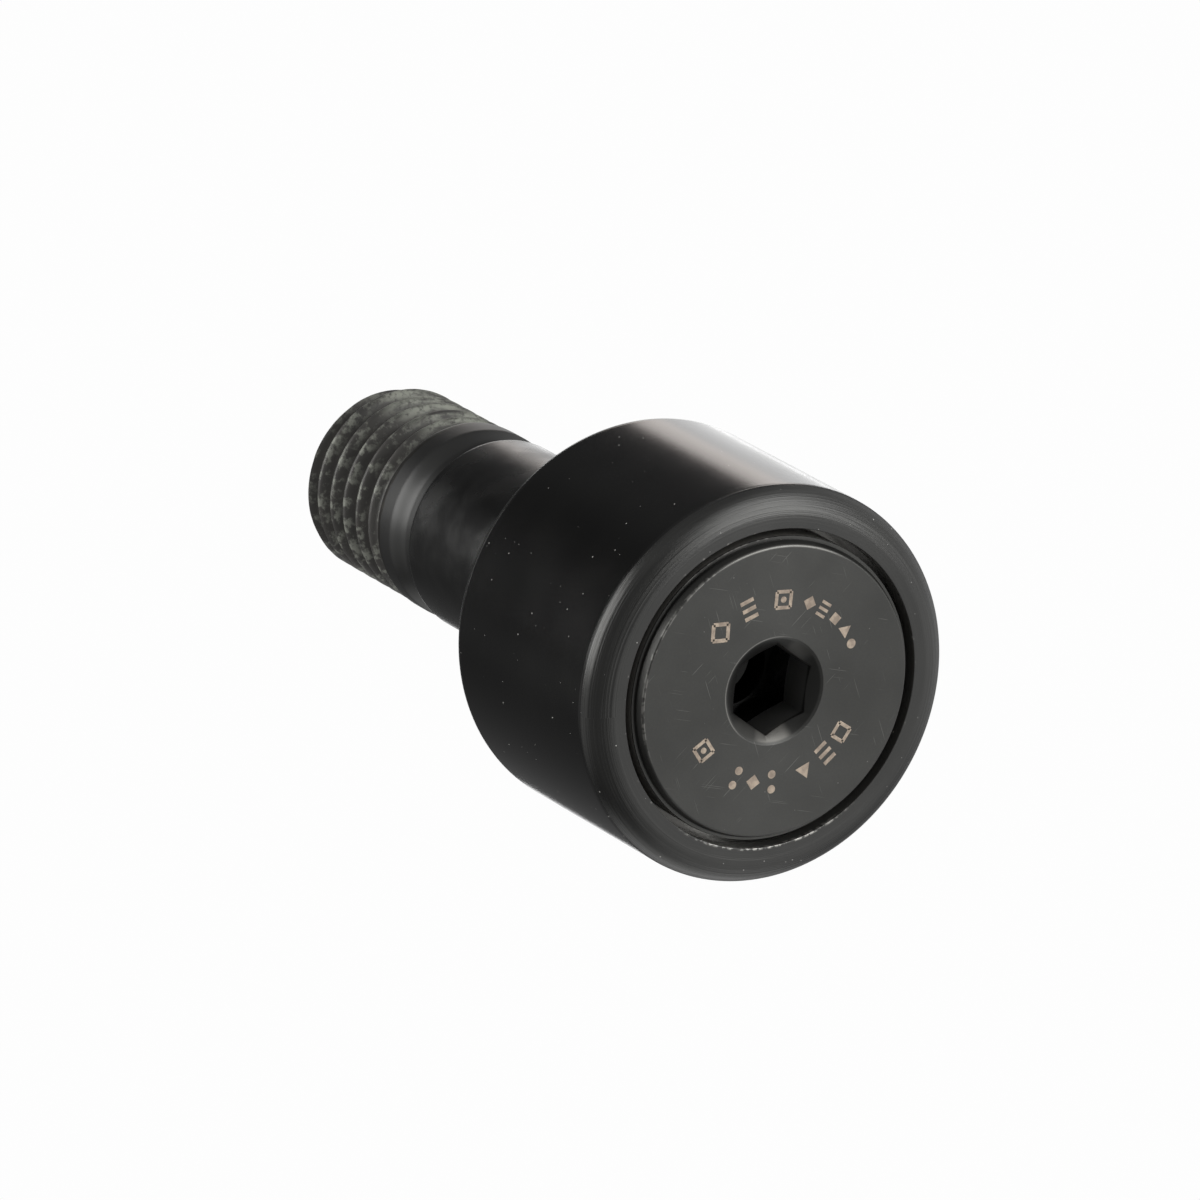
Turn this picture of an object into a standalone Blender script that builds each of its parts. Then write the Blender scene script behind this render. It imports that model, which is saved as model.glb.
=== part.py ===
"""Stud-type needle-roller cam follower with a 5/8 inch roller on a 5/16 inch heavy stud.

The stud lies along +Y, with its hexagon-socket head towards -Y. The origin is on the
stud's axis, in the clamping face of the endplate: what is at +Y goes through the machine
wall, and what is at -Y stands in front of it.

Every piece is turned, so each is modelled about its own +Z and laid along +Y afterwards.
Heights called stations are measured along the stud from the clamping face.
"""

import math

import bmesh
import bpy

MM = 0.001
INCH = 0.0254

# Catalogue sizes of the follower.
ROLLER_RADIUS = 5 / 16 * INCH
RING_WIDTH = 7 / 16 * INCH
ENDPLATE_STANDOUT = 1 / 32 * INCH
STUD_RADIUS = 5 / 32 * INCH
STUD_LENGTH = 3 / 4 * INCH
THREAD_PITCH = INCH / 24
SOCKET_ACROSS_FLATS = 1 / 8 * INCH
NEEDLE_RADIUS = 1 / 32 * INCH
NEEDLE_COUNT = 19

# Stations along the stud.
RING_REAR = -ENDPLATE_STANDOUT
RING_FRONT = RING_REAR - RING_WIDTH
HEAD_PROUD = 0.29 * MM
HEAD_FACE = RING_FRONT - HEAD_PROUD
HEAD_THICKNESS = 1.89 * MM
HEAD_BACK = HEAD_FACE + HEAD_THICKNESS
ENDPLATE_THICKNESS = 2.3 * MM

# Bearing: the needles fill the space between the stud's raceway and the ring's.
INNER_RACEWAY_RADIUS = 4.12 * MM
RUNNING_CLEARANCE = 0.01 * MM
NEEDLE_ORBIT_RADIUS = INNER_RACEWAY_RADIUS + RUNNING_CLEARANCE + NEEDLE_RADIUS
OUTER_RACEWAY_RADIUS = NEEDLE_ORBIT_RADIUS + NEEDLE_RADIUS + RUNNING_CLEARANCE
NEEDLE_END_PLAY = 0.1 * MM
NEEDLE_EDGE_RADIUS = 0.3 * MM
RACEWAY_LEAD_IN = 0.15 * MM
RING_END_PLAY = 0.1 * MM

# Outer ring. Its corners are quarter ovals, wider across the face than they are deep along the tread.
RING_CORNER_WIDTH = 1.25 * MM
RING_CORNER_DEPTH = 0.92 * MM
COUNTERBORE_RADIUS = 6.38 * MM
COUNTERBORE_CHAMFER = 0.08 * MM

# Head of the stud: a bevel round its face, then a step out to the flange that holds the ring.
FACE_RADIUS = 5.8 * MM
HEAD_RADIUS = 5.93 * MM
HEAD_BEVEL_DEPTH = 0.29 * MM
HEAD_STEP_DEPTH = 0.42 * MM
FLANGE_RADIUS = 6.08 * MM
FLANGE_CHAMFER = 0.08 * MM
SOCKET_DEPTH = 3.4 * MM
SOCKET_TURN = math.radians(21)
COUNTERSINK_RADIUS = 2.16 * MM
COUNTERSINK_HALF_ANGLE = math.radians(60)
PILOT_RADIUS = 1.54 * MM
PILOT_DEPTH = 4.6 * MM
DRILL_HALF_ANGLE = math.radians(59)

# Endplate, pressed onto its seat on the stud.
ENDPLATE_RADIUS = 6.0 * MM
SEAT_RADIUS = 4.04 * MM
PRESS_GAP = 0.02 * MM
ENDPLATE_CHAMFER = 0.2 * MM

# Shank, neck and thread of the stud.
SHANK_END = 9.8 * MM
NECK_RADIUS = 3.62 * MM
NECK_START = 10.0 * MM
NECK_END = 10.9 * MM
THREAD_BLANK_START = 11.45 * MM
GROOVE_START = 12.2 * MM
THREAD_MAJOR_RADIUS = 3.93 * MM
THREAD_DEPTH = 17 / 24 * math.sqrt(3) / 2 * THREAD_PITCH
THREAD_CREST_WIDTH = THREAD_PITCH / 8
THREAD_HALF_ANGLE = math.radians(30)
THREAD_END_CHAMFER = 0.75 * MM
CENTRE_HOLE_RADIUS = 0.45 * MM
CENTRE_HOLE_DEPTH = 1.7 * MM
CENTRE_CONE_RADIUS = 1.0 * MM
CENTRE_CONE_HALF_ANGLE = math.radians(30)

# Fineness of the turned surfaces.
RING_SEGMENTS = 72
STUD_SEGMENTS = 64
NEEDLE_SEGMENTS = 16
RING_CORNER_POINTS = 5
NEEDLE_CORNER_POINTS = 3
MERGE_DISTANCE = 0.001 * MM
SHARP_ANGLE = math.radians(25)

# Colour, metallic and roughness of each finish.
BLACK_OXIDE = ((0.022, 0.022, 0.023, 1.0), 0.85, 0.32)
BLACK_OXIDE_GROUND = ((0.035, 0.035, 0.035, 1.0), 0.85, 0.42)
POLISHED_STEEL = ((0.56, 0.55, 0.53, 1.0), 1.0, 0.18)

COLLECTION_NAME = "cam_follower"
CUTTER_COLLECTION_NAME = "cutters"


def clear_scene():
    """Remove whatever objects the open file holds."""
    for item in list(bpy.data.objects):
        bpy.data.objects.remove(item, do_unlink=True)


def new_collection(name):
    """A collection linked to the scene."""
    collection = bpy.data.collections.new(name)
    bpy.context.scene.collection.children.link(collection)
    return collection


def finish_material(name, finish):
    """A Principled material from a (colour, metallic, roughness) finish."""
    colour, metallic, roughness = finish
    material = bpy.data.materials.new(name)
    material.use_nodes = True
    shader = material.node_tree.nodes["Principled BSDF"]
    shader.inputs["Base Color"].default_value = colour
    shader.inputs["Metallic"].default_value = metallic
    shader.inputs["Roughness"].default_value = roughness
    material.diffuse_color = colour
    return material


def arc(centre_radius, centre_station, width, depth, start, end, count):
    """Points of a round or oval corner of a profile, from one angle to another in degrees."""
    points = []
    for index in range(count):
        angle = math.radians(start + (end - start) * index / (count - 1))
        across = width * math.cos(angle)
        along = depth * math.sin(angle)
        points.append((centre_radius + across, centre_station + along))
    return points


def profile_object(name, points, closed, collection):
    """A polyline in the XZ plane, as (radius, station) points."""
    edges = [(index, index + 1) for index in range(len(points) - 1)]
    if closed:
        edges.append((len(points) - 1, 0))
    mesh = bpy.data.meshes.new(name)
    mesh.from_pydata([(radius, 0.0, station) for radius, station in points], edges, [])
    piece = bpy.data.objects.new(name, mesh)
    collection.objects.link(piece)
    return piece


def add_screw(piece, steps, lead=0.0, turns=1):
    """Revolve a profile about Z, climbing by lead on each turn."""
    screw = piece.modifiers.new("turn", "SCREW")
    screw.axis = "Z"
    screw.angle = 2 * math.pi
    screw.steps = steps
    screw.render_steps = steps
    screw.screw_offset = lead
    screw.iterations = turns
    screw.use_merge_vertices = True
    screw.merge_threshold = MERGE_DISTANCE
    return screw


def add_cut(piece, cutter):
    """Take a cutter's shape out of a piece."""
    cut = piece.modifiers.new(cutter.name, "BOOLEAN")
    cut.operation = "DIFFERENCE"
    cut.solver = "EXACT"
    cut.object = cutter


def apply_modifiers(piece):
    """Replace a piece's mesh by its evaluated mesh."""
    bpy.context.view_layer.update()
    graph = bpy.context.evaluated_depsgraph_get()
    result = bpy.data.meshes.new_from_object(piece.evaluated_get(graph))
    source = piece.data
    piece.modifiers.clear()
    piece.data = result
    bpy.data.meshes.remove(source)
    result.name = piece.name


def lay_along_stud(piece, location=(0.0, 0.0, 0.0)):
    """Turn a piece's own +Z to the stud's +Y and put it in its place."""
    piece.rotation_euler = (-math.pi / 2, 0.0, 0.0)
    piece.location = location


def shade_round(piece, material):
    """Smooth shading with sharp edges kept, and the piece's finish."""
    piece.data.shade_smooth()
    piece.data.set_sharp_from_angle(angle=SHARP_ANGLE)
    piece.data.materials.clear()
    piece.data.materials.append(material)


def make_cutter(piece):
    """Mark a piece as a cutter."""
    piece.hide_render = True
    piece.display_type = "WIRE"


def socket_cutter(collection):
    """Hexagonal prism that broaches the socket from in front of the head's face."""
    overrun = 0.5 * MM
    corner_radius = SOCKET_ACROSS_FLATS / math.sqrt(3)
    shape = bmesh.new()
    bmesh.ops.create_cone(
        shape,
        cap_ends=True,
        segments=6,
        radius1=corner_radius,
        radius2=corner_radius,
        depth=SOCKET_DEPTH + overrun,
    )
    mesh = bpy.data.meshes.new("socket_cutter")
    shape.to_mesh(mesh)
    shape.free()
    cutter = bpy.data.objects.new("socket_cutter", mesh)
    collection.objects.link(cutter)
    # The primitive has a corner on its Y axis, and its own Z runs along the stud.
    corner_angle = math.pi / 2
    cutter.rotation_euler = (0.0, 0.0, -SOCKET_TURN - corner_angle)
    cutter.location = (0.0, 0.0, HEAD_FACE + (SOCKET_DEPTH - overrun) / 2)
    make_cutter(cutter)
    return cutter


def thread_cutter(collection):
    """Helical V groove, right handed, from near the neck to past the end of the stud."""
    overrun = 0.08 * MM
    outer_radius = THREAD_MAJOR_RADIUS + overrun
    root_radius = THREAD_MAJOR_RADIUS - THREAD_DEPTH
    half_mouth = (THREAD_PITCH - THREAD_CREST_WIDTH) / 2
    slope = math.tan(THREAD_HALF_ANGLE)
    half_outer = half_mouth + overrun * slope
    half_root = half_mouth - THREAD_DEPTH * slope
    first = GROOVE_START + half_outer
    groove = [
        (outer_radius, first + half_outer),
        (outer_radius, first - half_outer),
        (root_radius, first - half_root),
        (root_radius, first + half_root),
    ]
    turns = math.ceil((STUD_LENGTH - first) / THREAD_PITCH) + 1
    cutter = profile_object("thread_cutter", groove, True, collection)
    add_screw(cutter, STUD_SEGMENTS // 2, lead=THREAD_PITCH, turns=turns)
    apply_modifiers(cutter)
    shape = bmesh.new()
    shape.from_mesh(cutter.data)
    bmesh.ops.holes_fill(shape, edges=shape.edges, sides=0)
    bmesh.ops.recalc_face_normals(shape, faces=shape.faces)
    shape.to_mesh(cutter.data)
    shape.free()
    make_cutter(cutter)
    return cutter


def stud_profile():
    """Half section of the stud, from the bottom of its centre hole round to the socket's pilot hole."""
    end = STUD_LENGTH
    cone_depth = (CENTRE_CONE_RADIUS - CENTRE_HOLE_RADIUS) / math.tan(CENTRE_CONE_HALF_ANGLE)
    centre_point = CENTRE_HOLE_RADIUS / math.tan(DRILL_HALF_ANGLE)
    centre_hole = [
        (0.0, end - CENTRE_HOLE_DEPTH - centre_point),
        (CENTRE_HOLE_RADIUS, end - CENTRE_HOLE_DEPTH),
        (CENTRE_HOLE_RADIUS, end - cone_depth),
        (CENTRE_CONE_RADIUS, end),
    ]
    thread_blank = [
        (THREAD_MAJOR_RADIUS - THREAD_END_CHAMFER, end),
        (THREAD_MAJOR_RADIUS, end - THREAD_END_CHAMFER),
        (THREAD_MAJOR_RADIUS, THREAD_BLANK_START),
        (NECK_RADIUS, NECK_END),
        (NECK_RADIUS, NECK_START),
    ]
    seat_lead = SEAT_RADIUS - STUD_RADIUS
    shank_and_seat = [
        (STUD_RADIUS, SHANK_END),
        (STUD_RADIUS, 0.0),
        (SEAT_RADIUS, -seat_lead),
        (SEAT_RADIUS, -ENDPLATE_THICKNESS - PRESS_GAP),
    ]
    step = HEAD_FACE + HEAD_STEP_DEPTH
    raceway_and_head = [
        (INNER_RACEWAY_RADIUS, -ENDPLATE_THICKNESS - PRESS_GAP),
        (INNER_RACEWAY_RADIUS, HEAD_BACK),
        (FLANGE_RADIUS - FLANGE_CHAMFER, HEAD_BACK),
        (FLANGE_RADIUS, HEAD_BACK - FLANGE_CHAMFER),
        (FLANGE_RADIUS, step + FLANGE_CHAMFER),
        (FLANGE_RADIUS - FLANGE_CHAMFER, step),
        (HEAD_RADIUS, step),
        (HEAD_RADIUS, HEAD_FACE + HEAD_BEVEL_DEPTH),
        (FACE_RADIUS, HEAD_FACE),
    ]
    countersink_depth = (COUNTERSINK_RADIUS - PILOT_RADIUS) / math.tan(COUNTERSINK_HALF_ANGLE)
    pilot_point = PILOT_RADIUS / math.tan(DRILL_HALF_ANGLE)
    pilot_hole = [
        (COUNTERSINK_RADIUS, HEAD_FACE),
        (PILOT_RADIUS, HEAD_FACE + countersink_depth),
        (PILOT_RADIUS, HEAD_FACE + PILOT_DEPTH),
        (0.0, HEAD_FACE + PILOT_DEPTH + pilot_point),
    ]
    return centre_hole + thread_blank + shank_and_seat + raceway_and_head + pilot_hole


def ring_profile():
    """Closed section of the outer ring, starting at its rear corner."""
    width = RING_CORNER_WIDTH
    depth = RING_CORNER_DEPTH
    across = ROLLER_RADIUS - width
    rear_shoulder = -ENDPLATE_THICKNESS - RING_END_PLAY
    front_shoulder = HEAD_BACK + RING_END_PLAY
    chamfer = COUNTERBORE_CHAMFER
    rear = arc(across, RING_REAR - depth, width, depth, 90, 0, RING_CORNER_POINTS)
    front = arc(across, RING_FRONT + depth, width, depth, 0, -90, RING_CORNER_POINTS)
    inside = [
        (COUNTERBORE_RADIUS + chamfer, RING_FRONT),
        (COUNTERBORE_RADIUS, RING_FRONT + chamfer),
        (COUNTERBORE_RADIUS, front_shoulder),
        (OUTER_RACEWAY_RADIUS + RACEWAY_LEAD_IN, front_shoulder),
        (OUTER_RACEWAY_RADIUS, front_shoulder + RACEWAY_LEAD_IN),
        (OUTER_RACEWAY_RADIUS, rear_shoulder - RACEWAY_LEAD_IN),
        (OUTER_RACEWAY_RADIUS + RACEWAY_LEAD_IN, rear_shoulder),
        (COUNTERBORE_RADIUS, rear_shoulder),
        (COUNTERBORE_RADIUS, RING_REAR - chamfer),
        (COUNTERBORE_RADIUS + chamfer, RING_REAR),
    ]
    return rear + front + inside


def endplate_profile():
    """Closed section of the endplate, starting at the outer edge of its clamping face."""
    chamfer = ENDPLATE_CHAMFER
    bore = SEAT_RADIUS + PRESS_GAP
    return [
        (ENDPLATE_RADIUS - chamfer, 0.0),
        (ENDPLATE_RADIUS, -chamfer),
        (ENDPLATE_RADIUS, -ENDPLATE_THICKNESS + chamfer),
        (ENDPLATE_RADIUS - chamfer, -ENDPLATE_THICKNESS),
        (bore + chamfer / 2, -ENDPLATE_THICKNESS),
        (bore, -ENDPLATE_THICKNESS + chamfer / 2),
        (bore, -chamfer),
        (bore + chamfer, 0.0),
    ]


def needle_length():
    """The needles fill the space between the head and the endplate but for their end play."""
    return -ENDPLATE_THICKNESS - HEAD_BACK - 2 * NEEDLE_END_PLAY


def needle_profile():
    """Half section of a needle about its own middle, with round edges."""
    half = needle_length() / 2
    edge = NEEDLE_EDGE_RADIUS
    across = NEEDLE_RADIUS - edge
    upper = arc(across, half - edge, edge, edge, 90, 0, NEEDLE_CORNER_POINTS)
    lower = arc(across, edge - half, edge, edge, 0, -90, NEEDLE_CORNER_POINTS)
    return [(0.0, half)] + upper + lower + [(0.0, -half)]


def make_stud(parts, cutters):
    """Head, inner raceway, endplate seat, shank, neck and thread are one piece of steel."""
    stud = profile_object("stud", stud_profile(), False, parts)
    add_screw(stud, STUD_SEGMENTS)
    add_cut(stud, socket_cutter(cutters))
    add_cut(stud, thread_cutter(cutters))
    apply_modifiers(stud)
    shade_round(stud, finish_material("stud", BLACK_OXIDE_GROUND))
    lay_along_stud(stud)


def make_ring(parts):
    """The roller: a thick outer ring with a counterbore at each end."""
    ring = profile_object("outer_ring", ring_profile(), True, parts)
    add_screw(ring, RING_SEGMENTS)
    apply_modifiers(ring)
    shade_round(ring, finish_material("outer_ring", BLACK_OXIDE))
    lay_along_stud(ring)


def make_endplate(parts):
    """Washer pressed onto the stud, whose face the machine wall clamps against."""
    plate = profile_object("endplate", endplate_profile(), True, parts)
    add_screw(plate, STUD_SEGMENTS)
    apply_modifiers(plate)
    shade_round(plate, finish_material("endplate", BLACK_OXIDE_GROUND))
    lay_along_stud(plate)


def make_needles(parts):
    """A full complement of needles round the stud, held from an empty on its axis."""
    middle = (HEAD_BACK - ENDPLATE_THICKNESS) / 2
    carrier = bpy.data.objects.new("needle_orbit_axis", None)
    carrier.location = (0.0, middle, 0.0)
    carrier.empty_display_size = NEEDLE_ORBIT_RADIUS
    parts.objects.link(carrier)
    steel = finish_material("needle", POLISHED_STEEL)
    pattern = None
    for index in range(NEEDLE_COUNT):
        name = f"needle_{index + 1:02d}"
        if pattern is None:
            needle = profile_object(name, needle_profile(), False, parts)
            add_screw(needle, NEEDLE_SEGMENTS)
            apply_modifiers(needle)
            shade_round(needle, steel)
            pattern = needle.data
            pattern.name = "needle"
        else:
            needle = bpy.data.objects.new(name, pattern)
            parts.objects.link(needle)
        angle = 2 * math.pi * index / NEEDLE_COUNT
        across = NEEDLE_ORBIT_RADIUS * math.cos(angle)
        up = NEEDLE_ORBIT_RADIUS * math.sin(angle)
        lay_along_stud(needle, (across, 0.0, up))
        needle.parent = carrier


def main():
    clear_scene()
    parts = new_collection(COLLECTION_NAME)
    cutters = new_collection(CUTTER_COLLECTION_NAME)
    make_stud(parts, cutters)
    make_ring(parts)
    make_endplate(parts)
    make_needles(parts)


main()
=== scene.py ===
"""Looks of a stud-type cam follower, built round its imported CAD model.

The stud lies along +Y, with its hexagon-socket head towards -Y. The origin is on the stud's
axis, in the clamping face of the endplate. Heights called stations are measured along +Y.
Geometry is in metres. The materials work in millimetres, in the same frame.
"""

import math

import bmesh
import bpy
from mathutils import Matrix, Vector, noise


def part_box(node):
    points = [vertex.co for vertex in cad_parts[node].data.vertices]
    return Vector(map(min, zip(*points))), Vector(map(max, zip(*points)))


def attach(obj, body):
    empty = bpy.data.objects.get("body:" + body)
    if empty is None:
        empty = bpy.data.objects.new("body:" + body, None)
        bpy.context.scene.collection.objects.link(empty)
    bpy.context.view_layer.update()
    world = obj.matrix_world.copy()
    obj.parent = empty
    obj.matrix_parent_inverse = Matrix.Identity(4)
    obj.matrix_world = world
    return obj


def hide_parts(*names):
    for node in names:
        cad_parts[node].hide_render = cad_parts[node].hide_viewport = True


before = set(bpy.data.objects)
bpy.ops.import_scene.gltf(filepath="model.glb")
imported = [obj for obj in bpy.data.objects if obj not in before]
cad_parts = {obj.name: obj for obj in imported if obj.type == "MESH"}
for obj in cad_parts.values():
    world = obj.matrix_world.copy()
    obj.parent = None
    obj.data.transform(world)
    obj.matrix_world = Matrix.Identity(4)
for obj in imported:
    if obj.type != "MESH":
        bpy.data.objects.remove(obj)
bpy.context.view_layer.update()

MM = 0.001

# Sizes that the CAD model gives.
ring_low, ring_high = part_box("outer_ring")
stud_low, stud_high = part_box("stud")
plate_low, plate_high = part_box("endplate")
needle_low, needle_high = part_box("needle_01")
NEEDLES = sorted(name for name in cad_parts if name.startswith("needle_"))

ROLLER_RADIUS = ring_high.x
RING_FRONT = ring_low.y
RING_REAR = ring_high.y
HEAD_FACE = stud_low.y
STUD_END = stud_high.y
FLANGE_RADIUS = stud_high.x
PLATE_RADIUS = plate_high.x
PLATE_FRONT = plate_low.y
NEEDLE_ORBIT_RADIUS = (needle_low.x + needle_high.x) / 2
NEEDLE_RADIUS = (needle_high.x - needle_low.x) / 2
NEEDLE_FRONT = needle_low.y
NEEDLE_REAR = needle_high.y

# Head of the stud.
FACE_RADIUS = 5.8 * MM
FACE_EDGE_ROUND = 0.07 * MM
HEAD_RADIUS = 5.93 * MM
HEAD_BEVEL_DEPTH = 0.29 * MM
HEAD_BEVEL_ROUND = 0.1 * MM
HEAD_STEP_DEPTH = 0.42 * MM
HEAD_THICKNESS = 1.89 * MM
HEAD_BACK = HEAD_FACE + HEAD_THICKNESS
# The head's finish ends just past its back face.
HEAD_FINISH_END = HEAD_BACK + 0.01 * MM
FLANGE_FRONT_INSET = 0.02 * MM
FLANGE_FRONT_CHAMFER = 0.08 * MM
FLANGE_FRONT_ROUND = 0.04 * MM
FLANGE_BACK_ROUND = 0.06 * MM
SOCKET_APOTHEM = 25.4 / 16 * MM
SOCKET_DEPTH = 3.4 * MM
SOCKET_TURN = math.radians(21)
COUNTERSINK_RADIUS = 2.16 * MM
COUNTERSINK_HALF_ANGLE = math.radians(60)
COUNTERSINK_ROUND = 0.05 * MM
COUNTERSINK_LAST_ROW = 0.1 * MM
SOCKET_EDGE = 0.02 * MM
SOCKET_EDGE_RISE = 0.012 * MM
PILOT_RADIUS = 1.54 * MM
PILOT_DEPTH = 4.6 * MM
DRILL_HALF_ANGLE = math.radians(59)

# Bearing and endplate seat.
INNER_RACEWAY_RADIUS = 4.12 * MM
RUNNING_CLEARANCE = 0.01 * MM
OUTER_RACEWAY_RADIUS = NEEDLE_ORBIT_RADIUS + NEEDLE_RADIUS + RUNNING_CLEARANCE
RACEWAY_LEAD_IN = 0.15 * MM
COUNTERBORE_RADIUS = 6.38 * MM
COUNTERBORE_LIP_ROUND = 0.03 * MM
RING_CORNER_WIDTH = 1.25 * MM
RING_CORNER_DEPTH = 0.92 * MM
RING_END_PLAY = 0.1 * MM
NEEDLE_EDGE_ROUND = 0.3 * MM
SEAT_RADIUS = 4.04 * MM
SEAT_CHAMFER = 0.07 * MM
PRESS_GAP = 0.02 * MM
SEAT_FRONT = PLATE_FRONT - PRESS_GAP
PLATE_BORE = SEAT_RADIUS + PRESS_GAP
PLATE_RIM_ROUND = 0.18 * MM
PLATE_BORE_ROUND = 0.1 * MM

# Shank, neck and right-hand thread.
STUD_RADIUS = 25.4 * 5 / 32 * MM
SHANK_END = 9.8 * MM
NECK_RADIUS = 3.62 * MM
NECK_START = 10.0 * MM
NECK_END = 10.9 * MM
NECK_FILLET = 0.3 * MM
NECK_FILLET_SLOPE = 0.1 * MM
NECK_BLEND_START = NECK_END - NECK_FILLET
THREAD_BLANK_START = 11.45 * MM
GROOVE_START = 12.2 * MM
THREAD_PITCH = 25.4 / 24 * MM
THREAD_RADIUS = 3.93 * MM
# Half width of the crest and rounding of the groove's edges, as shares of the pitch.
THREAD_CREST = 1 / 16
GROOVE_ROUNDING = 0.12
GROOVE_SAMPLES = 5
GROOVE_RUN_IN = 1.1 * THREAD_PITCH
THREAD_HALF_ANGLE = math.radians(30)
THREAD_DEPTH = 17 / 24 * math.sqrt(3) / 2 * THREAD_PITCH
THREAD_END_CHAMFER = 0.75 * MM
# Dents in the thread: depth, and how many of them fit in a millimetre.
WIDE_DENTS = (0.014 * MM, 1.7)
SMALL_DENTS = (0.006 * MM, 6)
CENTRE_HOLE_RADIUS = 0.45 * MM
CENTRE_HOLE_DEPTH = 1.7 * MM
CENTRE_CONE_RADIUS = 1.0 * MM
CENTRE_CONE_HALF_ANGLE = math.radians(30)
CENTRE_CONE_ROUND = 0.06 * MM

# Fineness of the surfaces.
RING_SEGMENTS = 360
STUD_SEGMENTS = 240
PLATE_SEGMENTS = 240
NEEDLE_SEGMENTS = 48
FLOOR_SEGMENTS = 96
FILLET_STEPS = 4
NEEDLE_EDGE_STEPS = 6
FLOOR_BEND_STEPS = 12
SPARE_POINT = 0.015 * MM
CORNER_STEPS = 14
THREAD_ROWS = 20
MERGE_DISTANCE = 1e-7
SHARP_ANGLE = math.radians(40)


# ---------------------------------------------------------------- turned shapes


def rounded(corners, steps=FILLET_STEPS, closed=False):
    """An outline of (radius, station) points through (radius, station, fillet) corners.

    Each fillet has a spare point on either side, which keeps the shading of flats flat.
    """
    outline = []
    for index, (radius, station, fillet) in enumerate(corners):
        here = Vector((radius, station))
        if not fillet:
            outline.append(tuple(here))
            continue
        following = (index + 1) % len(corners) if closed else index + 1
        before = (Vector(corners[index - 1][:2]) - here).normalized()
        after = (Vector(corners[following][:2]) - here).normalized()
        half_angle = before.angle(after) / 2
        reach = fillet / math.tan(half_angle)
        centre = here + (before + after).normalized() * fillet / math.sin(half_angle)
        first = here + before * reach - centre
        last = here + after * reach - centre
        sweep = math.pi - 2 * half_angle
        outline.append(tuple(here + before * (reach + SPARE_POINT)))
        for step in range(steps + 1):
            share = step / steps
            lead = math.sin((1 - share) * sweep) / math.sin(sweep)
            trail = math.sin(share * sweep) / math.sin(sweep)
            outline.append(tuple(centre + first * lead + last * trail))
        outline.append(tuple(here + after * (reach + SPARE_POINT)))
    return outline


def place_on(radius, station, angle):
    """A point of a turned surface. Angles run from +X towards +Z."""
    return (radius * math.cos(angle), station, radius * math.sin(angle))


def add_rows(shape, rows, segments):
    """Join rows of a turned surface.

    A row is (radius, station), or a function of the angle that gives them.
    """
    angles = [2 * math.pi * index / segments for index in range(segments)]
    previous = None
    for row in rows:
        loop = []
        for angle in angles:
            radius, station = row(angle) if callable(row) else row
            loop.append(shape.verts.new(place_on(radius, station, angle)))
        if previous:
            for index in range(segments):
                ahead = (index + 1) % segments
                shape.faces.new((previous[index], previous[ahead], loop[ahead], loop[index]))
        previous = loop


def finish_shape(shape, name, body, nodes):
    """Make a piece of a closed shape. It rides on a body and stands for its CAD nodes."""
    bmesh.ops.remove_doubles(shape, verts=shape.verts, dist=MERGE_DISTANCE)
    bmesh.ops.dissolve_degenerate(shape, edges=shape.edges, dist=MERGE_DISTANCE)
    bmesh.ops.recalc_face_normals(shape, faces=shape.faces)
    mesh = bpy.data.meshes.new(name)
    shape.to_mesh(mesh)
    shape.free()
    mesh.shade_smooth()
    mesh.set_sharp_from_angle(angle=SHARP_ANGLE)
    piece = bpy.data.objects.new(name, mesh)
    bpy.context.scene.collection.objects.link(piece)
    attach(piece, body)
    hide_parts(*nodes)
    return piece


# ---------------------------------------------------------------- stud


def hexagon_radius(angle):
    """Distance from the axis to the socket's wall."""
    past_corner = (angle - SOCKET_TURN) % (math.pi / 3)
    return SOCKET_APOTHEM / math.cos(past_corner - math.pi / 6)


def wall_top(angle):
    """Station where the socket's wall meets the countersink."""
    slope = math.tan(COUNTERSINK_HALF_ANGLE)
    return HEAD_FACE + (COUNTERSINK_RADIUS - hexagon_radius(angle)) / slope


def socket_rows():
    """From the bottom of the pilot hole up the hexagon's wall to the countersink's mouth."""
    pilot_point = PILOT_RADIUS / math.tan(DRILL_HALF_ANGLE)
    floor = HEAD_FACE + SOCKET_DEPTH
    return [
        (0.0, HEAD_FACE + PILOT_DEPTH + pilot_point),
        (PILOT_RADIUS, HEAD_FACE + PILOT_DEPTH),
        (PILOT_RADIUS, floor),
        lambda angle: (hexagon_radius(angle), floor),
        lambda angle: (hexagon_radius(angle), (floor + wall_top(angle)) / 2),
        lambda angle: (hexagon_radius(angle), wall_top(angle) + SOCKET_EDGE),
        lambda angle: (hexagon_radius(angle) + SOCKET_EDGE, wall_top(angle) - SOCKET_EDGE_RISE),
    ]


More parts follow.
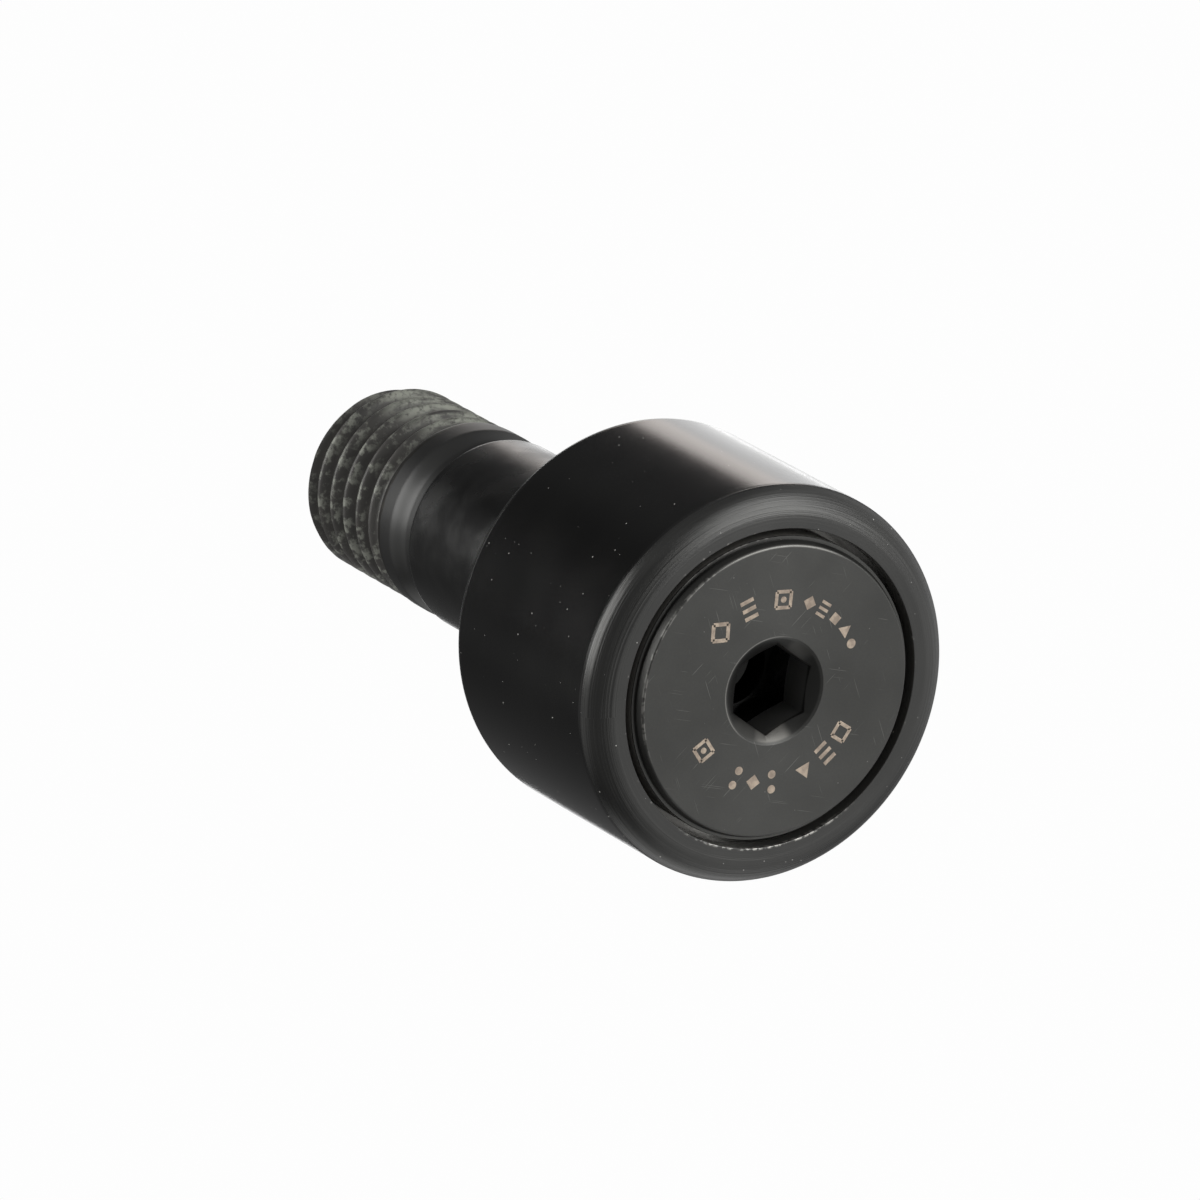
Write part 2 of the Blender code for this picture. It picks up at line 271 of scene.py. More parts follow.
def head_to_neck_rows():
    """Face, flange, raceway, seat, shank and the start of the neck."""
    step = HEAD_FACE + HEAD_STEP_DEPTH
    last_row = COUNTERSINK_LAST_ROW / math.tan(COUNTERSINK_HALF_ANGLE)
    corners = [
        (COUNTERSINK_RADIUS - COUNTERSINK_LAST_ROW, HEAD_FACE + last_row, 0),
        (COUNTERSINK_RADIUS, HEAD_FACE, COUNTERSINK_ROUND),
        (FACE_RADIUS, HEAD_FACE, FACE_EDGE_ROUND),
        (HEAD_RADIUS, HEAD_FACE + HEAD_BEVEL_DEPTH, HEAD_BEVEL_ROUND),
        (HEAD_RADIUS, step, 0),
        (FLANGE_RADIUS - FLANGE_FRONT_INSET, step, 0),
        (FLANGE_RADIUS, step + FLANGE_FRONT_CHAMFER, FLANGE_FRONT_ROUND),
        (FLANGE_RADIUS, HEAD_BACK, FLANGE_BACK_ROUND),
        (INNER_RACEWAY_RADIUS, HEAD_BACK, 0),
        (INNER_RACEWAY_RADIUS, SEAT_FRONT, 0),
        (SEAT_RADIUS, SEAT_FRONT, 0),
        (SEAT_RADIUS, -SEAT_CHAMFER, 0),
        (STUD_RADIUS, 0.0, 0),
        (STUD_RADIUS, SHANK_END, NECK_FILLET),
        (NECK_RADIUS, NECK_START + NECK_FILLET_SLOPE, NECK_FILLET),
        (NECK_RADIUS, NECK_BLEND_START, 0),
    ]
    return rounded(corners)


def soft_step(share):
    """0 up to a share of 0, 1 from a share of 1, and a soft S between them."""
    share = min(max(share, 0.0), 1.0)
    return share * share * (3 - 2 * share)


def thread_envelope(station):
    """Radius of the turned blank under the thread, which rises in a soft S from the neck."""
    taper_end = STUD_END - THREAD_END_CHAMFER
    rise = soft_step((station - NECK_BLEND_START) / (THREAD_BLANK_START - NECK_BLEND_START))
    blank = NECK_RADIUS + (THREAD_RADIUS - NECK_RADIUS) * rise
    return min(blank, THREAD_RADIUS + taper_end - station)


def groove_depth(phase):
    """Depth of the thread's groove at a share of its pitch from a crest, edges a little round."""
    total = 0.0
    for index in range(GROOVE_SAMPLES):
        shifted = phase + GROOVE_ROUNDING * (2 * index / (GROOVE_SAMPLES - 1) - 1)
        from_crest = abs((shifted + 0.5) % 1.0 - 0.5) - THREAD_CREST
        depth = from_crest * THREAD_PITCH / math.tan(THREAD_HALF_ANGLE)
        total += min(max(depth, 0.0), THREAD_DEPTH)
    return total / GROOVE_SAMPLES


def thread_radius(angle, station):
    """Radius of the threaded stretch, with grooves that run out into the neck."""
    run_in = soft_step((station - GROOVE_START) / GROOVE_RUN_IN)
    phase = station / THREAD_PITCH + angle / (2 * math.pi)
    spot = Vector(place_on(THREAD_RADIUS, station, angle)) / MM
    dents = sum(depth * max(noise.noise(spot * scale), 0.0) for depth, scale in (WIDE_DENTS, SMALL_DENTS))
    crest = THREAD_RADIUS - run_in * (groove_depth(phase) + dents)
    return min(thread_envelope(station), crest)


def add_thread(shape):
    """A surface whose rows follow the right-hand helix, cut off at the neck and the end."""
    turns = math.ceil((STUD_END - NECK_BLEND_START) / THREAD_PITCH) + 1
    rows = []
    for index in range(turns * THREAD_ROWS + 1):
        start = NECK_BLEND_START + THREAD_PITCH * index / THREAD_ROWS
        row = []
        for column in range(STUD_SEGMENTS + 1):
            angle = 2 * math.pi * column / STUD_SEGMENTS
            station = start - THREAD_PITCH * column / STUD_SEGMENTS
            station = min(max(station, NECK_BLEND_START), STUD_END)
            row.append(shape.verts.new(place_on(thread_radius(angle, station), station, angle)))
        rows.append(row)
    for lower, upper in zip(rows, rows[1:]):
        for column in range(STUD_SEGMENTS):
            shape.faces.new((lower[column], lower[column + 1], upper[column + 1], upper[column]))


def end_rows():
    """The stud's end with its centre hole."""
    cone_depth = (CENTRE_CONE_RADIUS - CENTRE_HOLE_RADIUS) / math.tan(CENTRE_CONE_HALF_ANGLE)
    point = CENTRE_HOLE_RADIUS / math.tan(DRILL_HALF_ANGLE)
    corners = [
        (THREAD_RADIUS - THREAD_END_CHAMFER, STUD_END, 0),
        (CENTRE_CONE_RADIUS, STUD_END, CENTRE_CONE_ROUND),
        (CENTRE_HOLE_RADIUS, STUD_END - cone_depth, 0),
        (CENTRE_HOLE_RADIUS, STUD_END - CENTRE_HOLE_DEPTH, 0),
        (0.0, STUD_END - CENTRE_HOLE_DEPTH - point, 0),
    ]
    return rounded(corners)


def stud_finish_index(station):
    """Which of the stud's finishes a face has: 0 on the head, 1 up to the thread's groove, 2 beyond."""
    if station < HEAD_FINISH_END:
        return 0
    if station < GROOVE_START:
        return 1
    return 2


def make_stud(head, shank, thread):
    """Head, raceway, seat, shank, neck and thread in one piece, with three finishes."""
    shape = bmesh.new()
    add_rows(shape, socket_rows() + head_to_neck_rows(), STUD_SEGMENTS)
    add_thread(shape)
    add_rows(shape, end_rows(), STUD_SEGMENTS)
    piece = finish_shape(shape, "fine_stud", "stud", ["stud"])
    for finish in (head, shank, thread):
        piece.data.materials.append(finish)
    for face in piece.data.polygons:
        face.material_index = stud_finish_index(face.center.y)


# ---------------------------------------------------------------- ring, endplate, needles


def oval_corner(flat_edge, station, inward):
    """A quarter oval from the ring's flat face out to its tread, with a spare point at each end."""
    points = [(flat_edge - SPARE_POINT, station)]
    for step in range(CORNER_STEPS + 1):
        angle = math.pi / 2 * step / CORNER_STEPS
        radius = flat_edge + RING_CORNER_WIDTH * math.sin(angle)
        depth = RING_CORNER_DEPTH * (1 - math.cos(angle))
        points.append((radius, station + inward * depth))
    points.append((ROLLER_RADIUS, station + inward * (RING_CORNER_DEPTH + SPARE_POINT)))
    return points


def make_ring(finish):
    """The roller: a thick ring with round corners and a counterbore at each end."""
    front_shoulder = HEAD_BACK + RING_END_PLAY
    rear_shoulder = PLATE_FRONT - RING_END_PLAY
    flat_edge = ROLLER_RADIUS - RING_CORNER_WIDTH
    front_corner = oval_corner(flat_edge, RING_FRONT, 1)
    outside = oval_corner(flat_edge, RING_REAR, -1) + front_corner[::-1]
    inside = rounded(
        [
            (flat_edge, RING_FRONT, 0),
            (COUNTERBORE_RADIUS, RING_FRONT, COUNTERBORE_LIP_ROUND),
            (COUNTERBORE_RADIUS, front_shoulder, 0),
            (OUTER_RACEWAY_RADIUS + RACEWAY_LEAD_IN, front_shoulder, 0),
            (OUTER_RACEWAY_RADIUS, front_shoulder + RACEWAY_LEAD_IN, 0),
            (OUTER_RACEWAY_RADIUS, rear_shoulder - RACEWAY_LEAD_IN, 0),
            (OUTER_RACEWAY_RADIUS + RACEWAY_LEAD_IN, rear_shoulder, 0),
            (COUNTERBORE_RADIUS, rear_shoulder, 0),
            (COUNTERBORE_RADIUS, RING_REAR, COUNTERBORE_LIP_ROUND),
            (flat_edge, RING_REAR, 0),
        ]
    )[1:]
    shape = bmesh.new()
    add_rows(shape, outside + inside, RING_SEGMENTS)
    piece = finish_shape(shape, "fine_outer_ring", "roller", ["outer_ring"])
    piece.data.materials.append(finish)


def make_endplate(finish):
    """Thick washer behind the ring, with round edges."""
    corners = [
        (PLATE_BORE, PLATE_FRONT, PLATE_BORE_ROUND),
        (PLATE_RADIUS, PLATE_FRONT, PLATE_RIM_ROUND),
        (PLATE_RADIUS, 0.0, PLATE_RIM_ROUND),
        (PLATE_BORE, 0.0, PLATE_BORE_ROUND),
    ]
    outline = rounded(corners, closed=True)
    shape = bmesh.new()
    add_rows(shape, outline + outline[:1], PLATE_SEGMENTS)
    piece = finish_shape(shape, "fine_endplate", "stud", ["endplate"])
    piece.data.materials.append(finish)


def make_needles(finish):
    """The needles stand on their own axes in a circle round the stud."""
    corners = [
        (0.0, NEEDLE_FRONT, 0),
        (NEEDLE_RADIUS, NEEDLE_FRONT, NEEDLE_EDGE_ROUND),
        (NEEDLE_RADIUS, NEEDLE_REAR, NEEDLE_EDGE_ROUND),
        (0.0, NEEDLE_REAR, 0),
    ]
    outline = rounded(corners, steps=NEEDLE_EDGE_STEPS)
    for node in NEEDLES:
        low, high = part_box(node)
        centre = (low + high) / 2
        shape = bmesh.new()
        add_rows(shape, outline, NEEDLE_SEGMENTS)
        bmesh.ops.translate(shape, verts=shape.verts, vec=(centre.x, 0.0, centre.z))
        piece = finish_shape(shape, "fine_" + node, "needles", [node])
        piece.data.materials.append(finish)


# ---------------------------------------------------------------- marks on the head


def add_slab(shape, outline, turn, reach, sink, rise):
    """A thin plate on the head's face from an outline in millimetres, across and outwards."""
    direction = Vector((math.cos(turn), 0.0, math.sin(turn)))
    across = Vector((math.sin(turn), 0.0, -math.cos(turn)))
    lower, upper = [], []
    for along, out in outline:
        point = direction * (reach + out) * MM + across * along * MM
        lower.append(shape.verts.new(point + Vector((0.0, HEAD_FACE + sink, 0.0))))
        upper.append(shape.verts.new(point + Vector((0.0, HEAD_FACE - rise, 0.0))))
    count = len(outline)
    shape.faces.new(upper)
    shape.faces.new(list(reversed(lower)))
    for index in range(count):
        ahead = (index + 1) % count
        shape.faces.new((upper[index], lower[index], lower[ahead], upper[ahead]))


def stroke(start, end, width):
    """Outline of a straight stroke between two points."""
    line = Vector(end) - Vector(start)
    side = Vector((-line.y, line.x)).normalized() * width / 2
    ends = (Vector(start), Vector(end))
    return [tuple(point) for point in (ends[0] + side, ends[1] + side, ends[1] - side, ends[0] - side)]


def regular(count, radius, turn=0.0, centre=(0.0, 0.0)):
    """Outline of a regular polygon."""
    points = []
    for index in range(count):
        angle = turn + 2 * math.pi * index / count
        points.append((centre[0] + radius * math.cos(angle), centre[1] + radius * math.sin(angle)))
    return points


def hollow(count, radius, width, turn=0.0):
    """Strokes along the sides of a regular polygon."""
    points = regular(count, radius, turn)
    return [stroke(points[index - 1], points[index], width) for index in range(count)]


def mark_shapes():
    """The kinds of mark: each is a list of outlines, in millimetres."""
    line = 0.16
    bars = [stroke((-0.3, out), (0.3, out), line) for out in (-0.34, 0.0, 0.34)]
    return {
        "ladder": bars,
        "disc": [regular(20, 0.26)],
        "discs": [regular(16, 0.17, 0.0, (0.0, out)) for out in (-0.3, 0.3)],
        "diamond": hollow(4, 0.46, line),
        "full_diamond": [regular(4, 0.34)],
        "square": hollow(4, 0.46, line, math.pi / 4),
        "full_square": [regular(4, 0.36, math.pi / 4)],
        "triangle": [regular(3, 0.42, math.pi / 2)],
        "framed_disc": hollow(4, 0.5, line, math.pi / 4) + [regular(16, 0.14)],
    }


# Marks round the face: kind, angle from +X towards +Z in degrees, size.
MARKS = [
    ("diamond", 131, 1.0),
    ("ladder", 108, 1.0),
    ("framed_disc", 84, 0.9),
    ("full_diamond", 65, 0.85),
    ("ladder", 54, 0.75),
    ("full_square", 43, 0.75),
    ("triangle", 32, 0.75),
    ("disc", 22, 0.75),
    ("square", -36, 0.9),
    ("ladder", -52, 1.0),
    ("triangle", -69, 0.9),
    ("discs", -92, 1.0),
    ("full_diamond", -105, 0.9),
    ("discs", -118, 1.0),
    ("framed_disc", -149, 0.9),
]
# Distance of the marks' middles from the axis, in millimetres.
MARK_REACH = 3.65
MARK_SINK = 0.004 * MM
MARK_RISE = 0.004 * MM


def make_marks(finish):
    """Generic marks in place of the lettering, a few micrometres proud of the face."""
    shape = bmesh.new()
    shapes = mark_shapes()
    for kind, degrees, size in MARKS:
        for outline in shapes[kind]:
            sized = [(along * size, out * size) for along, out in outline]
            add_slab(shape, sized, math.radians(degrees), MARK_REACH, MARK_SINK, MARK_RISE)
    bmesh.ops.recalc_face_normals(shape, faces=shape.faces)
    mesh = bpy.data.meshes.new("head_marks")
    shape.to_mesh(mesh)
    shape.free()
    piece = bpy.data.objects.new("head_marks", mesh)
    bpy.context.scene.collection.objects.link(piece)
    piece.data.materials.append(finish)
    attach(piece, "stud")


# ---------------------------------------------------------------- materials


class Surface:
    """Builds the nodes of one material. Its places and sizes are in millimetres."""

    def __init__(self, name, colour, metallic, roughness):
        self.material = bpy.data.materials.new(name)
        self.material.use_nodes = True
        self.tree = self.material.node_tree
        self.shader = self.tree.nodes["Principled BSDF"]
        self.shader.inputs["Base Color"].default_value = (*colour, 1.0)
        self.shader.inputs["Metallic"].default_value = metallic
        self.shader.inputs["Roughness"].default_value = roughness
        position = self.node("ShaderNodeTexCoord").outputs["Object"]
        scaled = self.node("ShaderNodeVectorMath", operation="SCALE")
        scaled.inputs["Scale"].default_value = 1 / MM
        self.link(position, scaled.inputs[0])
        self.place = scaled.outputs[0]
        parts = self.node("ShaderNodeSeparateXYZ")
        self.link(self.place, parts.inputs[0])
        self.x, self.station, self.z = parts.outputs
        across = self.math("MULTIPLY", self.x, self.x)
        self.radius = self.math("SQRT", self.math("MULTIPLY_ADD", self.z, self.z, across))
        self.angle = self.math("ARCTAN2", self.z, self.x)
        self.heights = []

    def node(self, kind, **settings):
        """A new node with its settings."""
        made = self.tree.nodes.new(kind)
        for name, value in settings.items():
            setattr(made, name, value)
        return made

    def link(self, source, target):
        """Link a socket, or set a plain value."""
        if isinstance(source, bpy.types.NodeSocket):
            self.tree.links.new(source, target)
        else:
            target.default_value = source

    def math(self, operation, *values, clamp=False):
        """The result of a Math node."""
        made = self.node("ShaderNodeMath", operation=operation, use_clamp=clamp)
        for value, socket in zip(values, made.inputs):
            self.link(value, socket)
        return made.outputs[0]

    def times(self, first, *others):
        """The product of several values."""
        product = first
        for other in others:
            product = self.math("MULTIPLY", product, other)
        return product

    def vector(self, x, y, z):
        """A vector of three values."""
        made = self.node("ShaderNodeCombineXYZ")
        for value, socket in zip((x, y, z), made.inputs):
            self.link(value, socket)
        return made.outputs[0]

    def scaled(self, vector, x, y, z):
        """A vector with its parts multiplied."""
        made = self.node("ShaderNodeVectorMath", operation="MULTIPLY")
        self.link(vector, made.inputs[0])
        made.inputs[1].default_value = (x, y, z)
        return made.outputs[0]

    def turned(self, vector, degrees):
        """A vector turned about the stud's axis."""
        made = self.node("ShaderNodeVectorRotate", rotation_type="Y_AXIS")
        self.link(vector, made.inputs["Vector"])
        made.inputs["Angle"].default_value = math.radians(degrees)
        return made.outputs[0]

    def noise(self, vector, scale, detail=2.0, rough=0.5):
        """Smooth noise from 0 to 1, with that many waves in a millimetre."""
        made = self.node("ShaderNodeTexNoise")
        self.link(vector, made.inputs["Vector"])
        made.inputs["Scale"].default_value = scale
        made.inputs["Detail"].default_value = detail
        made.inputs["Roughness"].default_value = rough
        return made.outputs[0]

    def ramp(self, value, low, high, to_low=0.0, to_high=1.0):
        """A value taken smoothly from one range to another."""
        made = self.node("ShaderNodeMapRange", interpolation_type="SMOOTHSTEP")
        for source, socket in zip((value, low, high, to_low, to_high), made.inputs):
            self.link(source, socket)
        return made.outputs[0]

    def band(self, value, centre, half_width, fade):
        """1 inside a band of a value, falling to 0 over the fade outside it."""
        away = self.math("ABSOLUTE", self.math("SUBTRACT", value, centre))
        return self.ramp(away, half_width, half_width + fade, 1.0, 0.0)

    def near_angle(self, degrees, half_width, fade):
        """1 near a direction round the axis, from +X towards +Z, in degrees."""
        cosine = math.cos(math.radians(degrees))
        sine = math.sin(math.radians(degrees))
        towards = self.math("MULTIPLY_ADD", self.x, cosine, self.math("MULTIPLY", self.z, sine))
        facing = self.math("DIVIDE", towards, self.radius)
        inner = math.cos(math.radians(half_width))
        outer = math.cos(math.radians(half_width + fade))
        return self.ramp(facing, outer, inner)

    def mix(self, share, low, high):
        """A colour between two colours."""
        made = self.node("ShaderNodeMix", data_type="RGBA")
        self.link(share, made.inputs["Factor"])
        for value, socket in ((low, made.inputs["A"]), (high, made.inputs["B"])):
            if isinstance(value, bpy.types.NodeSocket):
                self.link(value, socket)
            else:
                socket.default_value = (*value, 1.0)
        return made.outputs["Result"]

    def turning_marks(self, lines, wander=0.6):
        """Fine lines that run round the axis, left by the lathe and the grinding wheel."""
        place = self.vector(
            self.math("MULTIPLY", self.radius, lines),
            self.math("MULTIPLY", self.station, lines),
            self.math("MULTIPLY", self.angle, wander),
        )
        return self.noise(place, 1.0, 3.0, 0.65)

    def scratches(self, degrees, density, threshold):
        """Sparse thin straight scratches on the face, in one direction."""
        wavy = self.turned(self.place, degrees)
        stretched = self.scaled(wavy, density, 0.35, 0.35)
        lines = self.noise(stretched, 1.0, 1.0, 0.4)
        patch = self.noise(self.turned(self.place, degrees + 40), 0.9, 1.0)
        here = self.ramp(patch, 0.5, 0.62)
        return self.math("MULTIPLY", self.ramp(lines, threshold, threshold + 0.03), here)

    def specks(self, scale, size, share):
        """Small round specks: bits of dust or nicks in the oxide."""
        cells = self.node("ShaderNodeTexVoronoi")
        self.link(self.place, cells.inputs["Vector"])
        cells.inputs["Scale"].default_value = scale
        dot = self.ramp(cells.outputs["Distance"], size * 0.6, size, 1.0, 0.0)
        parts = self.node("ShaderNodeSeparateColor")
        self.link(cells.outputs["Color"], parts.inputs[0])
        chosen = self.math("LESS_THAN", parts.outputs[0], share)
        return self.math("MULTIPLY", dot, chosen)

    def any_of(self, *masks):
        """The strongest of several masks."""
        total = masks[0]
        for mask in masks[1:]:
            total = self.math("MAXIMUM", total, mask)
        return total

    def raise_by(self, value, height):
        """Adds a relief whose height, in millimetres, goes with a value."""
        self.heights.append(self.math("MULTIPLY", value, height))

    def finish(self, colour=None, roughness=None):
        """Wire colour, roughness and relief to the shader."""
        if colour is not None:
            self.link(colour, self.shader.inputs["Base Color"])
        if roughness is not None:
            self.link(roughness, self.shader.inputs["Roughness"])
        if self.heights:
            total = self.heights[0]
            for height in self.heights[1:]:
                total = self.math("ADD", total, height)
            bump = self.node("ShaderNodeBump")
            bump.inputs["Strength"].default_value = 1.0
            bump.inputs["Distance"].default_value = MM
            self.link(total, bump.inputs["Height"])
            self.link(bump.outputs[0], self.shader.inputs["Normal"])
        return self.material

    def spin_grain(self, amount):
        """Stretch reflections across the turning marks."""
        self.shader.inputs["Anisotropic"].default_value = amount
        self.shader.inputs["Anisotropic Rotation"].default_value = 0.25
        tangent = self.node("ShaderNodeTangent", direction_type="RADIAL", axis="Y")
        self.link(tangent.outputs[0], self.shader.inputs["Tangent"])


OXIDE = (0.052, 0.052, 0.050)
OXIDE_DARK = (0.036, 0.036, 0.036)
HEAD_OXIDE = (0.052, 0.052, 0.049)
HEAD_OXIDE_DARK = (0.039, 0.039, 0.037)
PLATE_OXIDE = (0.058, 0.058, 0.054)
THREAD_OXIDE = (0.040, 0.037, 0.033)
THREAD_OXIDE_DARK = (0.022, 0.022, 0.021)
# Pale grey of the thread's patches: worn crests and a painted highlight.
THREAD_WORN_AND_PAINTED_HIGHLIGHT = (0.26, 0.27, 0.23)
# Countersink tones: a painted shade, and a painted light towards the bottom.
COUNTERSINK_PAINTED_SHADE = (0.021, 0.021, 0.020)
COUNTERSINK_PAINTED_LIGHT = (0.075, 0.073, 0.068)
# Painted shade for the inside of the socket.
SOCKET_PAINTED_SHADE = (0.022, 0.022, 0.021)
# Bright steel: worn edges, scratches and specks, and painted highlights on the head's top edges and the
# ring's lower lip.
BARE_STEEL_AND_PAINTED_HIGHLIGHT = (0.48, 0.47, 0.44)
NEEDLE_STEEL = (0.56, 0.55, 0.53)
NEEDLE_STEEL_LIGHT = (0.60, 0.59, 0.57)
NEEDLE_STEEL_GREASY = (0.50, 0.48, 0.44)
# Old grease in the gaps, lighter than the oxide: also a painted fill light.
OLD_GREASE_AND_PAINTED_FILL = (0.095, 0.092, 0.084)
MARK_STRAW = (0.24, 0.19, 0.15)
MARK_STRAW_LIGHT = (0.30, 0.245, 0.19)
MARK_STRAW_DARK = (0.17, 0.135, 0.105)
# Metallic value of oxide under a dull film, which scatters some of its light.
DULL_OXIDE = 0.35


def ring_finish():
    """Black oxide over ground steel: a glossy tread and a satin, turned front face."""
    made = Surface("black_oxide_on_ground_ring", OXIDE, 1.0, 0.3)
    fine_lines = made.turning_marks(22.0)
    coarse_lines = made.turning_marks(11.0, 0.3)
    smudges = made.noise(made.place, 0.35, 3.0)
    # 1 on the flat faces and corners, 0 on the tread.
    middle = (RING_FRONT + RING_REAR) / 2 / MM
    half_tread = ((RING_REAR - RING_FRONT) / 2 - RING_CORNER_DEPTH) / MM
    off_tread = made.math("ABSOLUTE", made.math("SUBTRACT", made.station, middle))
    face = made.ramp(off_tread, half_tread - 0.1, half_tread + 0.35)
    flat_edge = (ROLLER_RADIUS - RING_CORNER_WIDTH) / MM
    corner = made.ramp(made.radius, flat_edge, flat_edge + 0.3)
    corner = made.times(corner, made.ramp(off_tread, half_tread + 0.02, half_tread + 0.2))
    # 1 inside the counterbores and the raceway, where old grease dulls the oxide and a lighter grey is
    # painted in as a painted fill light.
    bore = COUNTERBORE_RADIUS / MM
    hidden = made.ramp(made.radius, bore - 0.02, bore + 0.02, 1.0, 0.0)
    specks = made.any_of(made.specks(1.6, 0.06, 0.7), made.specks(2.9, 0.06, 0.2))
    # At its bottom the lip is painted bright in broken patches, a painted highlight. All round it there
    # is sparse wear.
    lip = made.times(
        made.band(made.radius, bore, 0.05, 0.06),
        made.ramp(off_tread, half_tread + 0.7, half_tread + 0.8),
    )
    bottom = made.near_angle(268, 20, 20)
    broken_glint = made.ramp(made.noise(made.place, 5.0, 3.0), 0.42, 0.6)
    wear_and_painted_highlight = made.any_of(
        made.times(lip, bottom, broken_glint),
        made.times(lip, made.ramp(made.noise(made.place, 2.2, 3.0), 0.62, 0.75)),
    )
    light = made.any_of(made.times(wear_and_painted_highlight, 0.5), made.times(specks, 0.45))
    grain = made.noise(made.place, 13.0, 2.0)
    base = made.mix(smudges, OXIDE_DARK, OXIDE)
    base = made.mix(made.times(made.ramp(fine_lines, 0.3, 0.8), face), base, OXIDE)
    base = made.mix(hidden, base, OLD_GREASE_AND_PAINTED_FILL)
    base = made.mix(light, base, BARE_STEEL_AND_PAINTED_HIGHLIGHT)
    rough = made.ramp(face, 0.0, 1.0, 0.11, 0.26)
    rough = made.math("MULTIPLY_ADD", smudges, 0.06, rough)
    metal = made.ramp(hidden, 0.0, 1.0, 1.0, DULL_OXIDE)
    made.link(made.ramp(specks, 0.0, 1.0, metal, 0.1), made.shader.inputs["Metallic"])
    made.raise_by(fine_lines, 0.0006)
    made.raise_by(grain, 0.0014)
    made.raise_by(made.times(coarse_lines, corner), 0.028)
    made.spin_grain(0.4)
    return made.finish(base, rough)


def head_finish():
    """Satin black oxide on the turned face of the head, with painted shade in its socket and countersink,
    and dull under it, where a lighter painted fill light sits.
    """
    made = Surface("black_oxide_on_turned_head", OXIDE, 0.92, 0.36)
    lines = made.turning_marks(16.0)
    smudges = made.noise(made.place, 0.5, 3.0)
    grain = made.noise(made.place, 11.0, 2.0, 0.6)
    depth = made.math("SUBTRACT", made.station, HEAD_FACE / MM)
    step_depth = HEAD_STEP_DEPTH / MM
    countersink = COUNTERSINK_RADIUS / MM
    socket_corner = SOCKET_APOTHEM / math.cos(math.pi / 6) / MM
    on_face = made.ramp(depth, 0.02, 0.06, 1.0, 0.0)
    scratches = made.any_of(
        made.scratches(17, 26.0, 0.72),
        made.scratches(74, 30.0, 0.73),
        made.scratches(130, 24.0, 0.72),
    )
    specks = made.specks(2.2, 0.06, 0.3)
    face_edge = made.band(made.radius, FACE_RADIUS / MM - 0.02, 0.03, 0.04)
    flange_edge = made.band(made.radius, FLANGE_RADIUS / MM - 0.02, 0.025, 0.03)
    flange_edge = made.times(flange_edge, made.ramp(depth, step_depth - 0.12, step_depth - 0.02))
    socket_rim = made.band(made.radius, countersink, 0.015, 0.03)
    nicks_and_glint_breaks = made.ramp(made.noise(made.place, 3.5, 2.0), 0.42, 0.6)
    worn_side = made.times(made.near_angle(150, 34, 20), nicks_and_glint_breaks)
    # Bright lines on the face edge and the flange edge at the top are painted highlights, broken by the
    # noise. On the left side and round the socket rim they are wear.
    wear_and_painted_highlight = made.any_of(
        made.times(face_edge, made.near_angle(88, 14, 20)),
        made.times(face_edge, worn_side),
        made.times(flange_edge, nicks_and_glint_breaks, made.near_angle(108, 14, 10)),
        made.times(socket_rim, made.near_angle(150, 50, 40)),
    )
    # The countersink is painted darker than the face, a painted shade, and lighter towards the bottom and
    # at two narrower angles, a painted light.
    cone = made.times(
        made.ramp(made.radius, countersink - 0.11, countersink - 0.04, 1.0, 0.0),
        made.ramp(depth, 0.03, 0.08),
    )
    countersink_painted_light = made.any_of(
        made.near_angle(268, 14, 14),
        made.times(made.near_angle(50, 8, 12), 0.35),
        made.times(made.near_angle(230, 10, 14), 0.3),
    )
    light = made.any_of(
        made.times(wear_and_painted_highlight, 0.18),
        made.times(scratches, on_face, 0.1),
        made.times(specks, 0.2),
    )
    base = made.mix(smudges, HEAD_OXIDE_DARK, HEAD_OXIDE)
    base = made.mix(made.ramp(grain, 0.2, 0.8, 0.0, 0.3), base, OXIDE_DARK)
    base = made.mix(cone, base, made.mix(countersink_painted_light, COUNTERSINK_PAINTED_SHADE, COUNTERSINK_PAINTED_LIGHT))
    base = made.mix(light, base, BARE_STEEL_AND_PAINTED_HIGHLIGHT)
    # The socket is painted darker, a painted shade. The gap under the head is painted a lighter grey: old
    # grease and a painted fill light. Both are less metallic, so they hardly reflect.
    inside = made.times(
        made.ramp(made.radius, socket_corner + 0.027, socket_corner + 0.087, 1.0, 0.0),
        made.ramp(depth, 0.3, 0.5),
    )
    gap = made.times(
        made.ramp(made.radius, HEAD_RADIUS / MM - 0.03, HEAD_RADIUS / MM - 0.01),
        made.ramp(depth, step_depth + 0.02, step_depth + 0.08),
    )
    hidden = made.any_of(inside, gap)
    base = made.mix(inside, base, SOCKET_PAINTED_SHADE)
    base = made.mix(gap, base, OLD_GREASE_AND_PAINTED_FILL)
    made.link(made.ramp(hidden, 0.0, 1.0, 0.92, DULL_OXIDE), made.shader.inputs["Metallic"])
    rough = made.ramp(smudges, 0.3, 0.7, 0.33, 0.42)
    made.raise_by(lines, 0.0007)
    made.raise_by(grain, 0.0008)
    made.raise_by(scratches, -0.0006)
    made.spin_grain(0.3)
    return made.finish(base, rough)


def shank_finish():
    """Black oxide, smooth on the ground shank and duller on the neck."""
    made = Surface("black_oxide_on_ground_shank", OXIDE_DARK, 1.0, 0.25)
    lines = made.turning_marks(14.0)
    smudges = made.noise(made.place, 0.6, 3.0)
    base = made.mix(smudges, OXIDE_DARK, OXIDE)
    # The ground shank is glossier than the neck, which is only turned.
    neck = made.ramp(made.station, SHANK_END / MM - 0.2, NECK_START / MM + 0.3)
    rough = made.ramp(smudges, 0.3, 0.7, 0.2, 0.3)
    rough = made.ramp(neck, 0.0, 1.0, rough, 0.42)
    made.raise_by(lines, 0.0005)
    made.spin_grain(0.3)
    return made.finish(base, rough)


